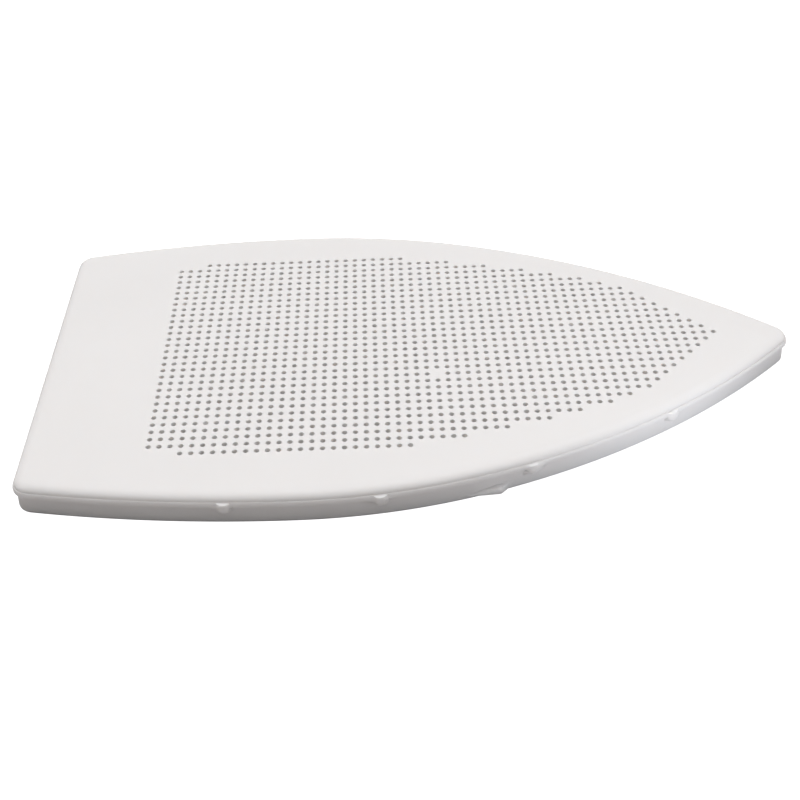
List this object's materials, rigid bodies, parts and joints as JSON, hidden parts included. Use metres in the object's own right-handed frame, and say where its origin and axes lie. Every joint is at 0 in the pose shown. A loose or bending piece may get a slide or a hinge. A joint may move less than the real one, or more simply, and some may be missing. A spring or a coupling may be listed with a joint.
{
  "type": "iron shoe cover",
  "caption": "Perforated low-friction shell that slips over an iron's soleplate, with a rounded sole edge, a lip and a short rim wall.",
  "frame": {"origin": "middle of the whole length and width, on the plane of the open rim", "axes": "+X from the heel to the nose, +Z out of the ironing face, +Y to the left of the nose seen from above"},
  "size_m": [0.231, 0.1292, 0.0095],
  "materials": {
    "white_fluoropolymer": "satin moulded white fluoropolymer, faintly translucent"
  },
  "bodies": {
    "root": {"sole_shell": "white_fluoropolymer"}
  },
  "joints": []
}
